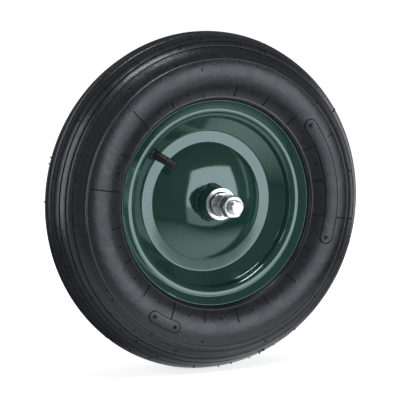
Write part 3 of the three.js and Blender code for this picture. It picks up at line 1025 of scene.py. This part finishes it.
def make_bearing_cup(side_name):
    """Pressed outer cup with the ball groove inside and a rounded flange over the hub's end."""
    node = f"{side_name}_bearing_cup"
    inner_end, outer_end = span(node)
    flange_start = outer_end - CUP_FLANGE
    sleeve = HUB_BORE - 0.3 * MM
    bite = math.degrees(math.acos((CUP_LAND - BALL_PITCH_RADIUS) / GROOVE_RADIUS))
    groove = arc(BALL_PITCH_RADIUS, BALL_PLANE, GROOVE_RADIUS, GROOVE_RADIUS, bite, -bite, 10)
    outline = [
        *rounded([
            (CUP_LAND, inner_end, 0.3 * MM),
            (sleeve, inner_end, 0.5 * MM),
            (sleeve, flange_start, 0),
            (HUB_RADIUS, flange_start, 0.4 * MM),
            (HUB_RADIUS, outer_end, 0.9 * MM),
            (SHIELD_SEAT, outer_end, 0.4 * MM),
            (SHIELD_SEAT, flange_start - 0.4 * MM, 0),
            (CUP_LAND, flange_start - 0.4 * MM, 0.2 * MM),
        ]),
        *groove,
    ]
    cup = revolve(f"{side_name}_cup_ring", on_side(outline, side_name), 128)
    finish_piece(cup, "wheel", "zinc_plate", node)


def make_dust_shield(side_name):
    node = f"{side_name}_dust_shield"
    start, end = span(node)
    outer = reach(node, 2)
    outline = rounded([
        (SHIELD_BORE, start, 0.2 * MM),
        (outer, start, 0),
        (outer, end, 0.2 * MM),
        (SHIELD_BORE, end, 0.3 * MM),
    ])
    shield = revolve(f"{side_name}_shield_ring", on_side(outline, side_name), 96)
    finish_piece(shield, "wheel", "zinc_plate", node)


def make_inner_race(side_name):
    node = f"{side_name}_inner_race"
    start, end = span(node)
    collar_start = HUB_HALF_LENGTH - 1 * MM
    bite = math.degrees(math.acos((BALL_PITCH_RADIUS - RACE_SHOULDER) / GROOVE_RADIUS))
    groove = arc(BALL_PITCH_RADIUS, BALL_PLANE, GROOVE_RADIUS, GROOVE_RADIUS, 180 + bite, 180 - bite, 10)
    outline = [
        (RACE_BORE, start),
        (RACE_SHOULDER, start),
        *groove,
        (RACE_SHOULDER, collar_start),
        *rounded([
            (RACE_COLLAR, collar_start, 0.3 * MM),
            (RACE_COLLAR, end, 0.4 * MM),
            (RACE_BORE, end, 0.2 * MM),
        ]),
    ]
    race = revolve(f"{side_name}_race_ring", on_side(outline, side_name), 96)
    finish_piece(race, "axle", "bearing_steel", node)


def make_balls(side_name):
    """Round steel balls at the places of the CAD balls."""
    for i in range(1, BALL_COUNT + 1):
        node = f"{side_name}_ball_{i}"
        low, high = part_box(node)
        centre = (low + high) / 2
        profile = arc(0, 0, BALL_RADIUS, BALL_RADIUS, -90, 90, 16)
        ball = revolve(f"{node}_polished", profile, 32, Matrix.Translation(centre))
        finish_piece(ball, f"{side_name}_ball_set", "bearing_steel", node)


def make_washer(side_name):
    node = f"{side_name}_washer"
    start, end = span(node)
    outer = reach(node, 2)
    outline = rounded([
        (WASHER_BORE, start, 0),
        (outer, start, 0.5 * MM),
        (outer, end, 0.6 * MM),
        (WASHER_BORE, end, 0.2 * MM),
    ])
    washer = revolve(f"{side_name}_washer_ring", on_side(outline, side_name), 96)
    finish_piece(washer, "axle", "zinc_plate", node)


# ---------------------------------------------------------------- threads, nuts and axle


def thread_height(y, turn, pitch):
    """0 at a thread's root and 1 at its crest, at a place along and round the axle."""
    phase = (y / pitch - turn / (2 * math.pi)) % 1
    ramp = 1 - abs(2 * phase - 1)
    return min(1, max(0, (ramp - 0.14) / 0.68))


def make_axle():
    """Plain rod with a cut thread on both ends, each end with a chamfer."""
    segments = 72
    rows_per_pitch = 12
    chamfer = 1.6 * MM
    rows = int((AXLE_HALF_LENGTH - THREAD_START) / THREAD_PITCH * rows_per_pitch)
    thread = [THREAD_START + (AXLE_HALF_LENGTH - THREAD_START) * i / rows for i in range(rows + 1)]
    levels = [-y for y in reversed(thread)] + thread
    points = []
    for y in levels:
        run_in = min(1, (abs(y) - THREAD_START) / THREAD_PITCH)
        limit = AXLE_RADIUS - max(0, abs(y) - (AXLE_HALF_LENGTH - chamfer)) * 0.9
        for i in range(segments):
            turn = 2 * math.pi * i / segments
            depth = THREAD_DEPTH * run_in * (1 - thread_height(y, turn, THREAD_PITCH))
            radius = min(AXLE_RADIUS - depth, limit)
            points.append((radius * math.cos(turn), y, radius * math.sin(turn)))
    faces = grid_faces(len(levels), segments, False, True)
    start = len(points)
    for end in (-1, 1):
        points += dished_end(end * AXLE_HALF_LENGTH, end, segments)
    faces += end_faces(0, start, segments)
    faces += end_faces((len(levels) - 1) * segments, start + 2 * segments + 1, segments)
    rod = make_mesh("axle_rod", points, faces, crease=38)
    finish_piece(rod, "axle", "zinc_plate", "axle")


def dished_end(y, outwards, segments):
    """Rings of points that close the axle's end, with a shallow dish in the middle."""
    points = []
    for share, depth in ((0.76, 0.0), (0.5, 0.25 * MM)):
        for i in range(segments):
            turn = 2 * math.pi * i / segments
            radius = share * AXLE_RADIUS
            points.append((radius * math.cos(turn), y - outwards * depth, radius * math.sin(turn)))
    points.append((0, y - outwards * 0.35 * MM, 0))
    return points


def end_faces(outer, start, segments):
    """Faces from the axle's last ring over its two end rings to the middle."""
    faces = []
    middle = start + 2 * segments
    for i in range(segments):
        k = (i + 1) % segments
        faces.append((outer + i, outer + k, start + k, start + i))
        faces.append((start + i, start + k, start + segments + k, start + segments + i))
        faces.append((start + segments + i, start + segments + k, middle))
    return faces


def hexagon_radius(turn, half_flats, corner_round=0.35 * MM):
    """Radius of a hexagon with corners on +X and -X, with its corners slightly rounded."""
    from_flat = (turn % (math.pi / 3)) - math.pi / 6
    sharp = half_flats / math.cos(from_flat)
    corner = half_flats / math.cos(math.pi / 6)
    over = max(0, sharp - (corner - 2 * corner_round))
    return sharp - over * over / (4 * corner_round)


NUT_MOUTH = AXLE_RADIUS + 0.9 * MM
NUT_COUNTERSINK = 1.2 * MM
NUT_FACE_SHARE = 0.965  # radius of the flat round face, as a share of half the width across the flats
NUT_SLOPE = math.tan(math.radians(30))
THREAD_GAP = 0.12 * MM


def make_nut(node, body):
    """Hexagon nut with chamfered corners on both faces, countersunk mouths and an inside thread."""
    side = SIDES[node.split("_")[0]]
    start, end = span(node)
    half_flats = reach(node, 2)
    segments = 120
    rows = int((end - start) / THREAD_PITCH * 10)
    bore_length = end - start - 2 * NUT_COUNTERSINK
    bore_levels = [end - NUT_COUNTERSINK - bore_length * i / rows for i in range(rows + 1)]
    points = []
    for i in range(segments):
        turn = 2 * math.pi * i / segments
        outline = nut_end(turn, half_flats, start, 1) + nut_end(turn, half_flats, end, -1)[::-1]
        for y in bore_levels:
            depth = THREAD_DEPTH * (1 - thread_height(side * y, turn, THREAD_PITCH))
            outline.append((AXLE_RADIUS - depth + THREAD_GAP, y))
        points += [(r * math.cos(turn), side * y, r * math.sin(turn)) for r, y in outline]
    columns = len(points) // segments
    nut = make_mesh(f"{node}_hex", points, grid_faces(segments, columns, True, True), crease=25)
    finish_piece(nut, body, "zinc_plate", node)


def nut_end(turn, half_flats, level, inwards):
    """Outline of a nut's face and chamfer, from the mouth of its hole to its side."""
    face_radius = half_flats * NUT_FACE_SHARE
    return [
        (NUT_MOUTH, level),
        (0.5 * (NUT_MOUTH + face_radius), level),
        (face_radius, level),
        (face_radius + 0.12 * MM, level + inwards * 0.06 * MM),
        nut_edge(turn, half_flats, level, inwards, 0.10 * MM),
        nut_edge(turn, half_flats, level, inwards, 0.0),
    ]


def nut_edge(turn, half_flats, level, inwards, inset):
    """Where a nut's chamfer meets its side, or a little inside that edge."""
    radius = hexagon_radius(turn, half_flats) - inset
    rise = max(0, radius - half_flats * NUT_FACE_SHARE) * NUT_SLOPE
    drop = rise + (0.12 * MM if inset == 0 else 0)
    return radius, level + inwards * drop


# ---------------------------------------------------------------- valve


def make_valve():
    matrix = valve_matrix()
    stem = revolve("valve_stem_rubber", stem_outline(), 48, matrix)
    finish_piece(stem, "wheel", "valve_rubber", "valve_stem")
    finish_piece(valve_barrel(matrix), "wheel", "brass", "valve_barrel")
    core = revolve("valve_core_sleeve", core_outline(), 32, matrix)
    finish_piece(core, "wheel", "brass", "valve_core")
    pin = revolve("valve_pin_rod", pin_outline(), 24, matrix)
    finish_piece(pin, "valve_pin", "brass", "valve_pin")
    finish_piece(valve_cap(matrix), "valve_cap", "cap_plastic", "valve_cap")


def stem_outline():
    return [(r * MM, y * MM) for r, y in rounded([
        (3.3, -7, 0),
        (7, -7, 0.3),
        (7, -5.6, 0.3),
        (5.5, -5.2, 0),
        (5.5, 0.4, 0),
        (7.4, 0.5, 0.2),
        (6.6, 2.6, 0.8),
        (5.4, 3.6, 0.6),
        (4.9, 22, 0.5),
        (3.3, 22, 0.2),
    ])]


def core_outline():
    corners = [(0.75, 10, 0.1), (1.6, 10, 0.2), (1.6, 29, 0.3), (0.75, 29, 0.1)]
    return [(r * MM, y * MM) for r, y in rounded(corners)]


def pin_outline():
    foot = [(0, 6), (1.3, 6), (1.4, 6.2), (1.4, 9.5), (1.2, 9.7)]
    rod = [(0.45, 9.7), (0.45, 30.5), (0.3, 30.8), (0, 30.8)]
    return [(r * MM, y * MM) for r, y in foot + rod]


def valve_barrel(matrix):
    """Brass barrel with a fine thread on its free end for the cap."""
    segments = 40
    pitch = 0.79 * MM
    thread_start, end = 22.3 * MM, 31.4 * MM
    rows = int((end - thread_start) / pitch * 8)
    points = []
    for i in range(segments):
        turn = 2 * math.pi * i / segments
        outline = [(1.9 * MM, -6 * MM), (3 * MM, -6 * MM), (3 * MM, thread_start)]
        for j in range(rows + 1):
            y = thread_start + (end - thread_start) * j / rows
            limit = 3.8 * MM - max(0, y - (end - 0.6 * MM)) * 0.8
            depth = 0.42 * MM * (1 - thread_height(y, turn, pitch))
            outline.append((min(3.8 * MM - depth, limit), y))
        outline.append((1.9 * MM, end))
        points += [matrix @ Vector((r * math.cos(turn), y, r * math.sin(turn))) for r, y in outline]
    columns = len(points) // segments
    return make_mesh("valve_barrel_thread", points, grid_faces(segments, columns, True, True), crease=40)


def valve_cap(matrix):
    """Black cap with fine grip ribs along its side and a rounded top."""
    ribs = 20
    per_rib = 6
    segments = ribs * per_rib
    start, end = 22.6, 35.4
    profile = [
        (0, 31.7, 0), (4.1, 31.7, 0), (4.1, start, 0), (4.6, start, 0), (4.75, start + 0.2, 0),
        (4.9, start + 1.0, 0), (4.9, start + 1.2, 1), (4.8, end - 2.6, 1), (4.8, end - 2.2, 0),
        (4.6, end - 0.9, 0), (4.1, end - 0.25, 0), (3.2, end, 0), (0, end, 0),
    ]
    points = []
    for i in range(segments):
        turn = 2 * math.pi * i / segments
        step = i % per_rib
        groove = 0.28 * max(0, math.cos(2 * math.pi * step / per_rib))
        for radius, y, ribbed in profile:
            r = (radius - groove * ribbed) * MM
            points.append(matrix @ Vector((r * math.cos(turn), y * MM, r * math.sin(turn))))
    return make_mesh("valve_cap_ribbed", points, grid_faces(segments, len(profile), True, True), crease=35)


# ---------------------------------------------------------------- whole wheel


def dress_cad_nodes():
    """CAD nodes that stay as they are get the finish of their slot."""
    slots = {part["node"]: part["material_slot"] for part in frame["record"]["subparts"]}
    for name, node in frame["nodes"].items():
        node.data.materials.clear()
        node.data.materials.append(materials[slots[name]])
        node.data.shade_smooth()
        node.data.set_sharp_from_angle(angle=math.radians(35))


make_stage()
materials = make_materials()
dress_cad_nodes()

make_tyre()
make_tread_rib()
make_inner_tube()
make_hub()
make_axle()
make_valve()
for side_name in SIDES:
    make_mould_lines(side_name)
    make_vent_nubs(side_name)
    make_panels(side_name)
    make_rim_half(side_name)
    make_weld(side_name)
    make_bearing_cup(side_name)
    make_dust_shield(side_name)
    make_inner_race(side_name)
    make_balls(side_name)
    make_washer(side_name)
    make_nut(f"{side_name}_inner_nut", "axle")
    make_nut(f"{side_name}_outer_nut", f"{side_name}_outer_nut")

bpy.context.view_layer.update()
